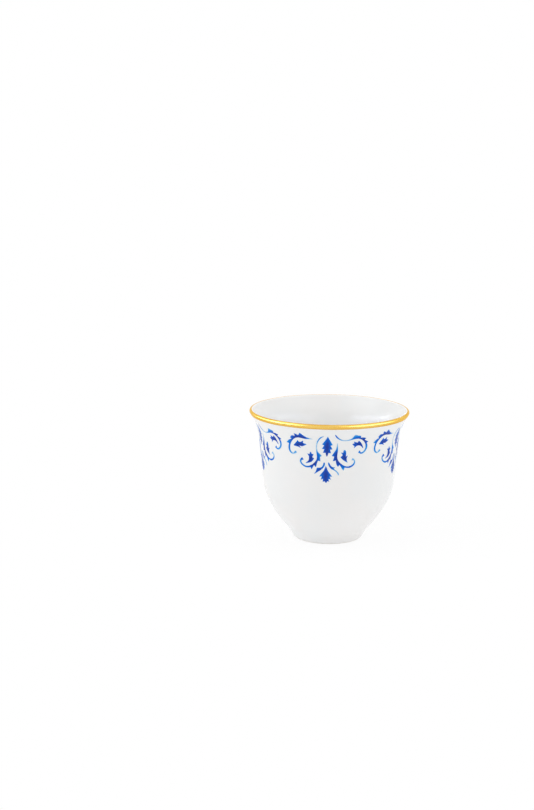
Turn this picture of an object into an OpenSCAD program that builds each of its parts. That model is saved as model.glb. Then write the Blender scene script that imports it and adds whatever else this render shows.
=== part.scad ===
// Arabic coffee cup: a small cup without a handle, on a low foot.
// The porcelain body carries a thin coat of glaze, a gold line round the lip
// and five printed blue scrolls. The foot stands on z = 0 and Z is the cup's axis.

/* [Cup] */
// Height of the glazed cup, under its gold
cup_h = 55; // [50:0.5:68]
// Width across the gilded lip
lip_d = 67.4; // [64:0.1:76]
// Width of the glazed wall at the belly
belly_d = 56; // [50:0.1:59]
// Height of the belly above the table
belly_h = 26.6; // [24:0.1:32]
// Lean of the wall away from upright at the belly, in degrees
belly_lean = 5; // [2:0.1:8]
// Lean of the wall just under the lip, in degrees
lip_lean = 30; // [18:0.5:40]
// Thickness of the porcelain at the lip
lip_t = 1.25; // [1:0.05:2]
// Thickness of the porcelain wall at the belly
wall_t = 1.9; // [1.4:0.05:2.6]
// Thickness of the porcelain floor, over the hollow of the foot
floor_t = 3; // [2:0.1:5]

/* [Foot] */
// Width of the foot where it meets the table, corners included
foot_d = 28.2; // [24:0.1:31]
// Height of the foot
foot_h = 4.1; // [3.4:0.1:6]
// Lean of the foot's side away from upright, in degrees
foot_lean = 30; // [18:0.5:38]
// Lean of the bowl where it leaves the foot, in degrees
bowl_lean = 39.8; // [38:0.1:50]
// Reach of the soft corner between foot and bowl
neck_soft = 0.9; // [0.3:0.1:1.4]
// Width of the flat ring that touches the table
stand_w = 1.6; // [1:0.1:2.6]
// Reach of the rounded corners of that ring
foot_round = 0.5; // [0.2:0.05:0.6]
// Depth of the hollow inside the foot
recess_h = 2.2; // [1.9:0.1:3]
// Lean of the hollow's wall away from upright, in degrees
recess_lean = 20; // [5:1:35]
// Reach of the rounded corner at the top of the hollow
recess_round = 0.8; // [0.3:0.1:1]

/* [Glaze and gold] */
// Thickness of the glaze
glaze_t = 0.15; // [0.1:0.01:0.3]
// Height of the unglazed porcelain above the table
bare_h = 0.6; // [0.6:0.05:0.9]
// Thickness of the gold line
gold_t = 0.1; // [0.05:0.01:0.2]
// Depth of the gold line's lower edge under the top of the glaze
gold_drop = 1.95; // [1.6:0.05:3.4]
// Place of its upper edge on the lip's round, in degrees above the widest point
gold_edge = 95; // [60:1:110]

/* [Printed scrolls] */
// Height of one scroll motif
print_h = 20.9; // [17:0.1:25]
// Depth of the motifs' upper edge under the top of the glaze
print_drop = 4.1; // [3.8:0.1:8]
// Share of the way round the cup that the five motifs cover
print_fill_share = 0.94; // [0.8:0.01:0.98]
// Thickness of the printed enamel
print_t = 0.1; // [0.05:0.01:0.2]
// Clearance between the glaze and the enamel
print_gap = 0.05; // [0.05:0.01:0.1]

/* [Hidden] */
$fn = 96;

print_count = 5;
print_pitch = 360 / print_count;

// Steps in the curved stretches of the outline
bowl_steps = 14;
flare_steps = 14;
lip_steps = 5;
inside_steps = 16;
corner_steps = 4;

// Handles of the outline's curves, as shares of the height that each one climbs
bowl_low_share = 0.2;
bowl_high_share = 0.51;
flare_low_share = 0.75;
flare_high_share = 0.3;
inside_low_share = 0.62;
inside_high_share = 0.62;

// Places on the porcelain under its glaze
belly_r = belly_d / 2 - glaze_t;
lip_r = lip_d / 2 - gold_t - glaze_t;
crest_z = cup_h - glaze_t;
foot_r = foot_d / 2;
neck = [foot_r + foot_h * tan(foot_lean), foot_h];
belly = [belly_r, belly_h];
lip_centre = [lip_r - lip_t / 2, crest_z - lip_t / 2];
stand_out_r = foot_r - foot_round;
stand_in_r = stand_out_r - stand_w;
hollow_r = stand_in_r - foot_round;
hollow_corner = [hollow_r - recess_h * tan(recess_lean), recess_h];
floor_z = recess_h + floor_t;

// Height that the bowl, the flare and the inside climb
bowl_rise = belly_h - foot_h;
flare_rise = cup_h - belly_h;
inside_rise = belly_h - floor_z;

// Direction that leaves the upright by an angle, away from the axis
function leaning(angle) = [sin(angle), cos(angle)];

// Direction at an angle above the horizontal
function pointing(angle) = [cos(angle), sin(angle)];

// Point and direction on a curve with two ends and two handles
function curve_point(c, t) =
    pow(1 - t, 3) * c[0] + 3 * t * pow(1 - t, 2) * c[1] + 3 * t * t * (1 - t) * c[2] + pow(t, 3) * c[3];
function curve_way(c, t) =
    pow(1 - t, 2) * (c[1] - c[0]) + 2 * t * (1 - t) * (c[2] - c[1]) + t * t * (c[3] - c[2]);

// A stop on the outline: its point, and the direction that faces away from the porcelain
function stop_at(point, way) = [point, [way.y, -way.x] / norm(way)];
function moved(stop, distance) = stop[0] + distance * stop[1];

// Stops along a curve, a straight stretch or a round of the lip
function along_curve(c, steps, first = 0) =
    [for (i = [first : steps]) stop_at(curve_point(c, i / steps), curve_way(c, i / steps))];
function along_line(a, b) = [stop_at(a, b - a), stop_at(b, b - a)];
function along_round(centre, radius, from, to, steps) = [
    for (i = [1 : steps])
        let (angle = from + (to - from) * i / steps)
        [centre + radius * pointing(angle), pointing(angle)]
];

// Curve that cuts a corner between two points on its sides
function corner(a, tip, b) = [a, (a + 2 * tip) / 3, (b + 2 * tip) / 3, b];

// The outline runs from the middle of the hollow, round the foot, up the outside,
// over the lip and down the inside to the middle of the floor
hollow_side = [-sin(recess_lean), cos(recess_lean)];
hollow_curve = corner(
    hollow_corner - [recess_round, 0],
    hollow_corner,
    hollow_corner - recess_round * hollow_side
);
hollow_bare = [hollow_r - bare_h * tan(recess_lean), bare_h];
hollow_stops = concat(
    [stop_at([0, recess_h], [1, 0])],
    along_curve(hollow_curve, corner_steps),
    [stop_at(hollow_bare, -hollow_side)]
);

outer_bare = [foot_r + bare_h * tan(foot_lean), bare_h];
ring_in = corner([hollow_r, 0] + foot_round * hollow_side, [hollow_r, 0], [stand_in_r, 0]);
ring_out = corner([stand_out_r, 0], [foot_r, 0], [foot_r, 0] + foot_round * leaning(foot_lean));
ring_stops = concat(along_curve(ring_in, corner_steps), along_curve(ring_out, corner_steps));

bowl_start = neck + neck_soft * leaning(bowl_lean);
bowl_curve = [
    bowl_start,
    bowl_start + bowl_low_share * bowl_rise * leaning(bowl_lean),
    belly - bowl_high_share * bowl_rise * leaning(belly_lean),
    belly
];
flare_end = lip_centre + lip_t / 2 * pointing(-lip_lean);
flare_curve = [
    belly,
    belly + flare_low_share * flare_rise * leaning(belly_lean),
    flare_end - flare_high_share * flare_rise * leaning(lip_lean),
    flare_end
];
neck_curve = corner(neck - neck_soft * leaning(foot_lean), neck, bowl_start);
wall_stops = concat(
    [stop_at(outer_bare, leaning(foot_lean))],
    along_curve(neck_curve, corner_steps),
    along_curve(bowl_curve, bowl_steps, 1),
    along_curve(flare_curve, flare_steps, 1)
);
lip_low_stops = along_round(lip_centre, lip_t / 2, -lip_lean, gold_edge, 2 * lip_steps);
lip_high_stops = along_round(lip_centre, lip_t / 2, gold_edge, 180 - lip_lean, lip_steps);

// The inside follows the flare at the wall's thickness, then curves in to the floor
function wall_at(t) = wall_t + (lip_t - wall_t) * t;
inside_flare_stops = [
    for (i = [flare_steps - 1 : -1 : 0])
        let (t = i / flare_steps, outer = stop_at(curve_point(flare_curve, t), curve_way(flare_curve, t)))
        [moved(outer, -wall_at(t)), -outer[1]]
];
inside_belly = inside_flare_stops[flare_steps - 1][0];
inside_curve = [
    inside_belly,
    inside_belly - inside_high_share * inside_rise * leaning(belly_lean),
    [inside_low_share * inside_belly.x, floor_z],
    [0, floor_z]
];
inside_stops = concat(
    lip_high_stops,
    inside_flare_stops,
    along_curve(inside_curve, inside_steps, 1)
);

coat_stops = concat(wall_stops, lip_low_stops, inside_stops);

function points_of(stops) = [for (s = stops) s[0]];
function points_moved(stops, distance) = [for (s = stops) moved(s, distance)];
function backwards(list) = [for (i = [len(list) - 1 : -1 : 0]) list[i]];

// Section of a layer that lies on the outline, from one distance off it to another
function layer(stops, near, far) = concat(points_moved(stops, near), backwards(points_moved(stops, far)));

// Outer face of the glazed wall: radius by height
wall_table = [for (s = wall_stops) let (p = moved(s, glaze_t)) [p.y, p.x]];
function wall_r(z) = lookup(z, wall_table);

// The gold line covers the glaze from gold_drop up, over the lip, to gold_edge
gold_low_z = cup_h - gold_drop;
gold_slope = wall_r(gold_low_z + gold_t) - wall_r(gold_low_z);
gold_low_stop = stop_at([wall_r(gold_low_z), gold_low_z], [gold_slope, gold_t]);
gold_stops = concat(
    [gold_low_stop],
    [for (s = concat(wall_stops, lip_low_stops))
        let (p = moved(s, glaze_t))
        if (p.y > gold_low_z + gold_t) [p, s[1]]]
);

// One scroll motif, as shares of its height: x from its middle line, y down from its top.
// Its two halves are drawn freely, so each has tables of its own. The left half's x runs
// to the left and the right half's to the right. Each piece has a centre line, and edges as
// [station on that line, reach to one side, reach to the other]: in the right half the
// first reach lies to the left of someone who walks along the line.
left_outer_frond_line_share = [
    [0.265, 0.118], [0.330, 0.112], [0.400, 0.106], [0.470, 0.097], [0.540, 0.093],
    [0.605, 0.107], [0.660, 0.142], [0.703, 0.190], [0.735, 0.243], [0.754, 0.298],
    [0.760, 0.352], [0.748, 0.402], [0.716, 0.438], [0.672, 0.447], [0.610, 0.404]
];
left_outer_frond_edge_share = [
    [0, 0.004, 0.004], [1, 0.012, 0.010], [1.6, 0.024, 0.016], [2.2, 0.052, 0.018],
    [2.74, 0.096, 0.018], [3.63, 0.038, 0.014], [4.2, 0.080, 0.014], [4.72, 0.026, 0.015],
    [5, 0.050, 0.016], [5.3, 0.060, 0.017], [6, 0.050, 0.018], [6.3, 0.014, 0.018],
    [6.6, 0.034, 0.018], [7, 0.050, 0.018], [7.8, 0.072, 0.018], [8.1, 0.018, 0.018],
    [9, 0.020, 0.020], [10, 0.020, 0.020], [11, 0.019, 0.019], [12, 0.017, 0.017],
    [12.9, 0.013, 0.013], [13.2, 0.018, 0.018], [13.55, 0.028, 0.028], [13.8, 0.022, 0.022],
    [14, 0.008, 0.008]
];
left_inner_frond_line_share = [
    [0.062, 0.048], [0.112, 0.074], [0.155, 0.125], [0.184, 0.185], [0.198, 0.245],
    [0.200, 0.305], [0.193, 0.365], [0.183, 0.425], [0.180, 0.485], [0.190, 0.540],
    [0.222, 0.588], [0.262, 0.632], [0.310, 0.664], [0.362, 0.684], [0.415, 0.687],
    [0.463, 0.668], [0.502, 0.635], [0.522, 0.592], [0.510, 0.556], [0.475, 0.532]
];
left_inner_frond_edge_share = [
    [0, 0.005, 0.005], [1, 0.012, 0.012], [3, 0.012, 0.012], [4, 0.011, 0.011],
    [5, 0.012, 0.012], [6, 0.015, 0.015], [6.43, 0.016, 0.049], [6.87, 0.017, 0.082],
    [7.5, 0.016, 0.044], [8.6, 0.016, 0.062], [8.85, 0.016, 0.022], [9.3, 0.015, 0.025],
    [9.8, 0.014, 0.040], [10.5, 0.014, 0.070], [10.85, 0.014, 0.018], [11.3, 0.014, 0.038],
    [11.8, 0.014, 0.070], [12.2, 0.013, 0.022], [13, 0.014, 0.018], [14, 0.016, 0.016],
    [15, 0.015, 0.015], [16, 0.016, 0.016], [17, 0.018, 0.018], [17.7, 0.020, 0.020],
    [18.1, 0.024, 0.024], [18.45, 0.028, 0.028], [18.75, 0.022, 0.022], [19, 0.012, 0.012]
];
left_outer_leaf_line_share = [
    [0.658, 0.282], [0.612, 0.266], [0.566, 0.253], [0.520, 0.246], [0.476, 0.244],
    [0.435, 0.242], [0.393, 0.238]
];
left_outer_leaf_edge_share = [
    [0, 0.004, 0.004], [0.15, 0.015, 0.015], [0.6, 0.030, 0.034], [1.1, 0.045, 0.055],
    [1.5, 0.070, 0.088], [1.75, 0.084, 0.068], [2.15, 0.028, 0.050], [2.85, 0.042, 0.048],
    [3.5, 0.038, 0.082], [4, 0.032, 0.030], [4.5, 0.026, 0.024], [5.2, 0.015, 0.015],
    [6, 0.003, 0.003]
];
left_inner_leaf_line_share = [
    [0.420, 0.617], [0.378, 0.596], [0.341, 0.565], [0.319, 0.520], [0.312, 0.472],
    [0.313, 0.428], [0.317, 0.382]
];
left_inner_leaf_edge_share = [
    [0, 0.004, 0.004], [0.5, 0.012, 0.010], [1, 0.020, 0.014], [1.5, 0.033, 0.020],
    [2, 0.046, 0.030], [2.5, 0.058, 0.036], [2.85, 0.063, 0.039], [3.4, 0.026, 0.043],
    [4.1, 0.046, 0.078], [4.35, 0.052, 0.050], [4.8, 0.020, 0.024], [5.4, 0.013, 0.016],
    [6, 0.003, 0.003]
];
left_sprig_line_share = [
    [0.052, 0.585], [0.058, 0.635], [0.085, 0.685], [0.130, 0.722], [0.175, 0.752],
    [0.210, 0.787], [0.245, 0.825]
];
left_sprig_edge_share = [
    [0, 0.008, 0.008], [0.3, 0.018, 0.018], [1, 0.017, 0.018], [2, 0.020, 0.018],
    [2.5, 0.024, 0.021], [3.1, 0.058, 0.025], [4, 0.028, 0.022], [5, 0.012, 0.012],
    [6, 0.004, 0.004]
];
right_outer_frond_line_share = [
    [0.143, 0.006], [0.163, 0.045], [0.195, 0.083], [0.240, 0.115], [0.300, 0.136],
    [0.365, 0.138], [0.430, 0.124], [0.495, 0.106], [0.560, 0.099], [0.620, 0.107],
    [0.672, 0.132], [0.714, 0.166], [0.745, 0.208], [0.768, 0.255], [0.773, 0.305],
    [0.760, 0.350], [0.732, 0.388], [0.695, 0.412], [0.657, 0.412], [0.622, 0.380]
];
right_outer_frond_edge_share = [
    [0, 0.006, 0.006], [1, 0.014, 0.014], [2, 0.013, 0.013], [3, 0.011, 0.011],
    [4, 0.009, 0.009], [5, 0.010, 0.010], [6, 0.014, 0.013], [6.3, 0.022, 0.013],
    [6.5, 0.045, 0.013], [6.75, 0.082, 0.013], [7.63, 0.057, 0.012], [8.45, 0.050, 0.012],
    [8.9, 0.014, 0.014], [9.5, 0.040, 0.015], [10.2, 0.056, 0.016], [10.6, 0.012, 0.016],
    [11.2, 0.034, 0.016], [11.7, 0.056, 0.016], [12.1, 0.018, 0.017], [13, 0.022, 0.022],
    [14, 0.021, 0.021], [15, 0.020, 0.020], [16, 0.018, 0.018], [17, 0.017, 0.017],
    [18, 0.016, 0.016], [18.3, 0.020, 0.020], [18.55, 0.027, 0.027], [18.8, 0.022, 0.022],
    [19, 0.012, 0.012]
];
right_inner_frond_line_share = [
    [0.190, 0.190], [0.191, 0.250], [0.188, 0.310], [0.183, 0.370], [0.178, 0.430],
    [0.180, 0.490], [0.198, 0.545], [0.232, 0.592], [0.275, 0.632], [0.325, 0.663],
    [0.380, 0.682], [0.435, 0.684], [0.487, 0.666], [0.526, 0.632], [0.543, 0.588],
    [0.530, 0.548], [0.490, 0.526]
];
right_inner_frond_edge_share = [
    [0, 0.006, 0.006], [1, 0.014, 0.010], [2, 0.019, 0.020], [2.6, 0.020, 0.042],
    [3.2, 0.020, 0.068], [3.67, 0.019, 0.084], [4.15, 0.018, 0.040], [4.6, 0.018, 0.048],
    [5.1, 0.017, 0.078], [5.55, 0.016, 0.024], [6, 0.016, 0.040], [6.5, 0.016, 0.060],
    [7.1, 0.016, 0.070], [7.45, 0.016, 0.020], [8.1, 0.016, 0.040], [8.4, 0.015, 0.062],
    [8.95, 0.014, 0.080], [9.3, 0.014, 0.020], [10, 0.014, 0.014], [11, 0.018, 0.018],
    [12, 0.017, 0.017], [13, 0.017, 0.017], [14, 0.014, 0.014], [15, 0.016, 0.016],
    [15.2, 0.022, 0.022], [15.5, 0.028, 0.028], [15.8, 0.020, 0.020], [16, 0.010, 0.010]
];
right_outer_leaf_line_share = [
    [0.705, 0.322], [0.676, 0.276], [0.640, 0.240], [0.597, 0.222], [0.550, 0.222],
    [0.512, 0.226], [0.478, 0.220]
];
right_outer_leaf_edge_share = [
    [0, 0.005, 0.005], [0.8, 0.012, 0.014], [1.5, 0.020, 0.026], [2, 0.030, 0.040],
    [2.6, 0.041, 0.061], [3.2, 0.055, 0.026], [3.7, 0.084, 0.042], [4.15, 0.046, 0.056],
    [4.55, 0.030, 0.020], [5.1, 0.020, 0.016], [5.5, 0.012, 0.011], [6, 0.003, 0.003]
];
right_inner_leaf_line_share = [
    [0.405, 0.598], [0.376, 0.560], [0.350, 0.518], [0.334, 0.472], [0.331, 0.426],
    [0.333, 0.382], [0.331, 0.335]
];
right_inner_leaf_edge_share = [
    [0, 0.003, 0.003], [0.5, 0.010, 0.008], [1, 0.027, 0.014], [1.5, 0.040, 0.035],
    [1.8, 0.048, 0.084], [2.5, 0.073, 0.033], [3.1, 0.038, 0.035], [3.6, 0.036, 0.036],
    [4, 0.070, 0.036], [4.35, 0.028, 0.034], [5, 0.024, 0.030], [5.5, 0.019, 0.022],
    [5.85, 0.010, 0.010], [6, 0.004, 0.004]
];
right_sprig_line_share = [
    [0.030, 0.583], [0.044, 0.630], [0.070, 0.673], [0.105, 0.706], [0.145, 0.735],
    [0.183, 0.764], [0.213, 0.800], [0.232, 0.843]
];
right_sprig_edge_share = [
    [0, 0.008, 0.008], [0.3, 0.016, 0.016], [1, 0.018, 0.018], [2, 0.022, 0.021],
    [2.5, 0.028, 0.021], [2.9, 0.052, 0.020], [3.4, 0.012, 0.014], [4, 0.012, 0.012],
    [5, 0.012, 0.012], [6, 0.014, 0.013], [6.7, 0.012, 0.011], [7, 0.004, 0.004]
];

// The two leaves on the middle line lie a little to one side of it
centre_leaf_line_share = [
    [0.012, 0.052], [0.010, 0.130], [0.006, 0.215], [0.002, 0.300], [-0.001, 0.385], [-0.003, 0.465]
];
centre_leaf_edge_share = [
    [0, 0.003, 0.003], [0.42, 0.025, 0.025], [0.83, 0.055, 0.055], [1.12, 0.080, 0.080],
    [1.41, 0.100, 0.100], [1.87, 0.060, 0.060], [2.44, 0.100, 0.100], [2.87, 0.055, 0.055],
    [3.55, 0.078, 0.078], [3.88, 0.026, 0.026], [4.35, 0.020, 0.020], [4.75, 0.010, 0.010],
    [5, 0.003, 0.003]
];
pendant_leaf_line_share = [
    [-0.018, 0.662], [-0.020, 0.735], [-0.021, 0.805], [-0.020, 0.875], [-0.018, 0.940], [-0.014, 1]
];
pendant_leaf_edge_share = [
    [0, 0.003, 0.003], [0.36, 0.020, 0.020], [0.89, 0.038, 0.038], [1.26, 0.074, 0.074],
    [1.6, 0.106, 0.106], [1.9, 0.128, 0.128], [2.27, 0.078, 0.078], [3, 0.102, 0.102],
    [3.15, 0.056, 0.056], [4.02, 0.064, 0.064], [4.2, 0.027, 0.027], [4.7, 0.014, 0.014],
    [5, 0.003, 0.003]
];

// Half width of the whole motif and lean of its leaf tips, as shares
motif_half_share = 0.815;
tip_lean_share = 0.6;

// Most stations between two rings of points
ring_stations = 0.5;
// Step along a line when its direction is measured, in stations
way_step = 0.01;

print_top_z = cup_h - print_drop;
degrees_per_share = print_fill_share * print_pitch / (2 * motif_half_share);

// Point on the smooth line through hand-placed points, by its station
function line_point(line, s) =
    let (
        k = max(0, min(floor(s), len(line) - 2)),
        t = s - k,
        b = line[k],
        c = line[k + 1],
        a = k > 0 ? line[k - 1] : 2 * b - c,
        d = k + 2 < len(line) ? line[k + 2] : 2 * c - b
    )
    b + t / 2 * (c - a + t * (2 * a - 5 * b + 4 * c - d + t * (3 * (b - c) + d - a)));

function line_way(line, s) =
    let (way = line_point(line, s + way_step) - line_point(line, s - way_step))
    way / norm(way);

// Edge rows with more rows put between those that lie far apart
function filled(rows) = [
    for (i = [0 : len(rows) - 2])
        let (steps = ceil((rows[i + 1][0] - rows[i][0]) / ring_stations))
        for (j = [0 : steps - 1])
            rows[i] + (rows[i + 1] - rows[i]) * j / steps,
    rows[len(rows) - 1]
];

// Left edge, right edge and, in a wide leaf, the line between them
function ring(line, row, wide) =
    let (
        p = line_point(line, row[0]),
        way = line_way(line, row[0]),
        left = [way.y, -way.x] + tip_lean_share * way,
        right = [-way.y, way.x] + tip_lean_share * way
    )
    wide ? [p + row[1] * left, p, p + row[2] * right] : [p + row[1] * left, p + row[2] * right];

// Point of the motif laid round the cup, at a height over the glaze
function on_wall(p, side, lift) =
    let (
        z = print_top_z - p.y * print_h,
        angle = side * p.x * degrees_per_share,
        r = wall_r(z) + lift
    )
    [r * sin(angle), -r * cos(angle), z];

// Two triangles for a four-sided face: cut from its first corner, or from its second
function cut_first(q) = [[q[0], q[1], q[2]], [q[0], q[2], q[3]]];
function cut_second(q) = [[q[0], q[1], q[3]], [q[1], q[2], q[3]]];
function turned(faces) = [for (f = faces) backwards(f)];

// One piece of enamel: a thin plate that bends round the cup
module enamel(line, edges, side, wide = false, teeth_left = false) {
    rings = [for (row = filled(edges)) ring(line, row, wide)];
    rows = len(rings);
    columns = wide ? 3 : 2;
    points = [
        for (lift = [print_gap, print_gap + print_t])
            for (r = rings)
                for (p = r)
                    on_wall(p, side, lift)
    ];
    function at(layer, i, j) = (layer * rows + i) * columns + j;
    function plate(layer) = [
        for (i = [0 : rows - 2])
            for (j = [0 : columns - 2])
                let (q = [at(layer, i, j), at(layer, i + 1, j), at(layer, i + 1, j + 1), at(layer, i, j + 1)])
                for (f = (wide ? j == 0 : teeth_left) ? cut_second(q) : cut_first(q))
                    f
    ];
    last = columns - 1;
    end = rows - 1;
    rim = concat(
        [for (i = [0 : rows - 2]) [at(1, i, 0), at(0, i, 0), at(0, i + 1, 0), at(1, i + 1, 0)]],
        [for (i = [0 : rows - 2]) [at(1, i, last), at(1, i + 1, last), at(0, i + 1, last), at(0, i, last)]],
        [for (j = [0 : columns - 2]) [at(1, 0, j), at(1, 0, j + 1), at(0, 0, j + 1), at(0, 0, j)]],
        [for (j = [0 : columns - 2]) [at(1, end, j), at(0, end, j), at(0, end, j + 1), at(1, end, j + 1)]]
    );
    faces = concat(
        plate(1),
        turned(plate(0)),
        [for (q = rim) for (f = cut_first(q)) f]
    );
    polyhedron(points = points, faces = side > 0 ? faces : turned(faces));
}

module porcelain_body() {
    color("ivory")
        rotate_extrude()
            polygon(concat(
                points_of(hollow_stops),
                points_of(ring_stops),
                points_of(coat_stops)
            ));
}

// The glaze covers the outside, the lip, the inside and the hollow of the foot,
// and leaves the ring that stands on the table bare
module glaze_coat() {
    color("white") {
        rotate_extrude() polygon(layer(coat_stops, 0, glaze_t));
        rotate_extrude() polygon(layer(hollow_stops, 0, glaze_t));
    }
}

module gold_rim_line() {
    color("goldenrod")
        rotate_extrude()
            polygon(layer(gold_stops, 0, gold_t));
}

// One scroll motif in cobalt blue enamel: two pairs of fronds, two pairs of small
// leaves and a pair of sprigs about a middle line with two leaves on it
module scroll_print(place) {
    color("royalblue")
        rotate([0, 0, place * print_pitch]) {
            enamel(left_outer_frond_line_share, left_outer_frond_edge_share, -1, teeth_left = true);
            enamel(left_inner_frond_line_share, left_inner_frond_edge_share, -1);
            enamel(left_outer_leaf_line_share, left_outer_leaf_edge_share, -1, wide = true);
            enamel(left_inner_leaf_line_share, left_inner_leaf_edge_share, -1, wide = true);
            enamel(left_sprig_line_share, left_sprig_edge_share, -1, teeth_left = true);
            enamel(right_outer_frond_line_share, right_outer_frond_edge_share, 1, teeth_left = true);
            enamel(right_inner_frond_line_share, right_inner_frond_edge_share, 1);
            enamel(right_outer_leaf_line_share, right_outer_leaf_edge_share, 1, wide = true);
            enamel(right_inner_leaf_line_share, right_inner_leaf_edge_share, 1, wide = true);
            enamel(right_sprig_line_share, right_sprig_edge_share, 1, teeth_left = true);
            enamel(centre_leaf_line_share, centre_leaf_edge_share, 1, wide = true);
            enamel(pendant_leaf_line_share, pendant_leaf_edge_share, 1, wide = true);
        }
}

porcelain_body();
glaze_coat();
gold_rim_line();
for (k = [1 : print_count])
    scroll_print(k - 1);
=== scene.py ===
import math

import bmesh
import bpy
from mathutils import Matrix, Vector


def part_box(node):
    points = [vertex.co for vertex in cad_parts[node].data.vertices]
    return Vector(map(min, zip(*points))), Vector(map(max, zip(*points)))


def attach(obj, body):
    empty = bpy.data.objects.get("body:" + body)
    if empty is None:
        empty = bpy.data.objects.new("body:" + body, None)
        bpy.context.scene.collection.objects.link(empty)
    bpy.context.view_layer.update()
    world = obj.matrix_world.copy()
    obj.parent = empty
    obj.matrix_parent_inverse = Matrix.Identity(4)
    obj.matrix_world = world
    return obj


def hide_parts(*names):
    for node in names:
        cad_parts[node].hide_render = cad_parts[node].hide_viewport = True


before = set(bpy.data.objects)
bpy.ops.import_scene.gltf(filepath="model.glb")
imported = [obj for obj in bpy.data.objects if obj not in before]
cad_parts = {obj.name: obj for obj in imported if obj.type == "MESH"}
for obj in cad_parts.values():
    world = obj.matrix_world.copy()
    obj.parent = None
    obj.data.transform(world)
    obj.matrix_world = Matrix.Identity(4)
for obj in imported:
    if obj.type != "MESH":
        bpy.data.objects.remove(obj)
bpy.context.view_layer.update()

# Porcelain body
# The fired cup itself: one slip-cast piece of hard white porcelain, with its foot ring, bowl
# and flared lip in one. It shows bare only on the ring that stands on the table, which was
# wiped clean of glaze before the firing.
MM = 0.001
glaze_thick = 0.15 * MM
gold_thick = 0.1 * MM
cup_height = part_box("glaze_coat")[1].z
crest_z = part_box("porcelain_body")[1].z
lip_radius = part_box("gold_rim_line")[1].x - gold_thick - glaze_thick
lip_thick = 1.25 * MM
wall_thick = 1.9 * MM
belly_radius = 28 * MM
belly_height = 26.6 * MM
foot_radius = 14.1 * MM
foot_height = 4.1 * MM
neck_soft = 0.9 * MM
ring_width = 1.6 * MM
ring_round = 0.5 * MM
hollow_depth = 2.2 * MM
hollow_round = 0.8 * MM
bare_height = 0.6 * MM
floor_thick = 3 * MM

# Leans in degrees from the upright, and how far round the lip the gold's inner edge lies
lip_lean = 30
belly_lean = 5
bowl_lean = 39.8
foot_lean = 30
hollow_lean = 20
gold_edge_angle = 95

# Reach of the curves' handles, as shares of how far each curve rises or runs
bowl_handles = 0.2, 0.51
flare_handles = 0.75, 0.3
inside_handle = 0.62

# Steps along each stretch of the outline, and once round the cup
corner_steps = 8
neck_steps = 6
bowl_steps = 30
flare_steps = 36
lip_steps = 18
crest_steps = 9
inside_steps = 32
steps_round = 240
merge_reach = 0.001 * MM
sharp_angle = math.radians(35)


def leaning(angle):
    """Direction that leaves the upright by an angle in degrees, away from the axis."""
    return Vector((math.sin(math.radians(angle)), math.cos(math.radians(angle))))


def pointing(angle):
    """Direction at an angle in degrees above the horizontal."""
    return Vector((math.cos(math.radians(angle)), math.sin(math.radians(angle))))


def right_of(way):
    """Direction a quarter turn to the right of another."""
    return Vector((way.y, -way.x))


def on_slope(foot, lean, height):
    """Point at a height on the straight slope that starts from the table at one radius."""
    return Vector((foot + height * math.tan(math.radians(lean)), height))


def stop_at(point, way):
    """A point of the outline, and the direction there that faces away from the porcelain."""
    return point, right_of(way).normalized()


def along_curve(curve, steps, first=0):
    """Stops along a curve that is given as its start, its two handles and its end."""
    a, b, c, d = curve
    stops = []
    for i in range(first, steps + 1):
        t = i / steps
        s = 1 - t
        point = s ** 3 * a + 3 * t * s * s * b + 3 * t * t * s * c + t ** 3 * d
        way = s * s * (b - a) + 2 * t * s * (c - b) + t * t * (d - c)
        stops.append(stop_at(point, way))
    return stops


def corner(a, tip, b):
    """Curve that cuts the corner between two points on its sides."""
    return a, (a + 2 * tip) / 3, (b + 2 * tip) / 3, b


def along_round(centre, radius, start, end, steps):
    """Stops along the round of the lip, after its start."""
    angles = [start + (end - start) * i / steps for i in range(1, steps + 1)]
    return [(centre + radius * pointing(a), pointing(a)) for a in angles]


def moved(stops, distance):
    """The outline's points, all moved off the porcelain by one distance."""
    return [point + distance * away for point, away in stops]


ring_out_r = foot_radius - ring_round
ring_in_r = ring_out_r - ring_width
hollow_r = ring_in_r - ring_round
hollow_way = leaning(-hollow_lean)
hollow_tip = on_slope(hollow_r, -hollow_lean, hollow_depth)
hollow_flat = hollow_tip - Vector((hollow_round, 0))
hollow_bare = on_slope(hollow_r, -hollow_lean, bare_height)
hollow_stops = [stop_at(Vector((0, hollow_depth)), Vector((1, 0)))]
hollow_stops += along_curve(
    corner(hollow_flat, hollow_tip, hollow_tip - hollow_round * hollow_way), corner_steps
)
hollow_stops += [stop_at(hollow_bare, -hollow_way)]

ring_in_tip = Vector((hollow_r, 0))
ring_out_tip = Vector((foot_radius, 0))
ring_stops = along_curve(
    corner(ring_in_tip + ring_round * hollow_way, ring_in_tip, Vector((ring_in_r, 0))),
    corner_steps,
)
ring_stops += along_curve(
    corner(Vector((ring_out_r, 0)), ring_out_tip, ring_out_tip + ring_round * leaning(foot_lean)),
    corner_steps,
)

belly = Vector((belly_radius - glaze_thick, belly_height))
neck = on_slope(foot_radius, foot_lean, foot_height)
bowl_start = neck + neck_soft * leaning(bowl_lean)
bowl_rise = belly.y - foot_height
bowl_curve = (
    bowl_start,
    bowl_start + bowl_handles[0] * bowl_rise * leaning(bowl_lean),
    belly - bowl_handles[1] * bowl_rise * leaning(belly_lean),
    belly,
)
lip_round = lip_thick / 2
lip_centre = Vector((lip_radius - lip_round, crest_z - lip_round))
flare_rise = cup_height - belly.y
flare_end = lip_centre + lip_round * pointing(-lip_lean)
flare_curve = (
    belly,
    belly + flare_handles[0] * flare_rise * leaning(belly_lean),
    flare_end - flare_handles[1] * flare_rise * leaning(lip_lean),
    flare_end,
)
foot_bare = on_slope(foot_radius, foot_lean, bare_height)
neck_curve = corner(neck - neck_soft * leaning(foot_lean), neck, bowl_start)
wall_stops = [stop_at(foot_bare, leaning(foot_lean))]
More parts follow.
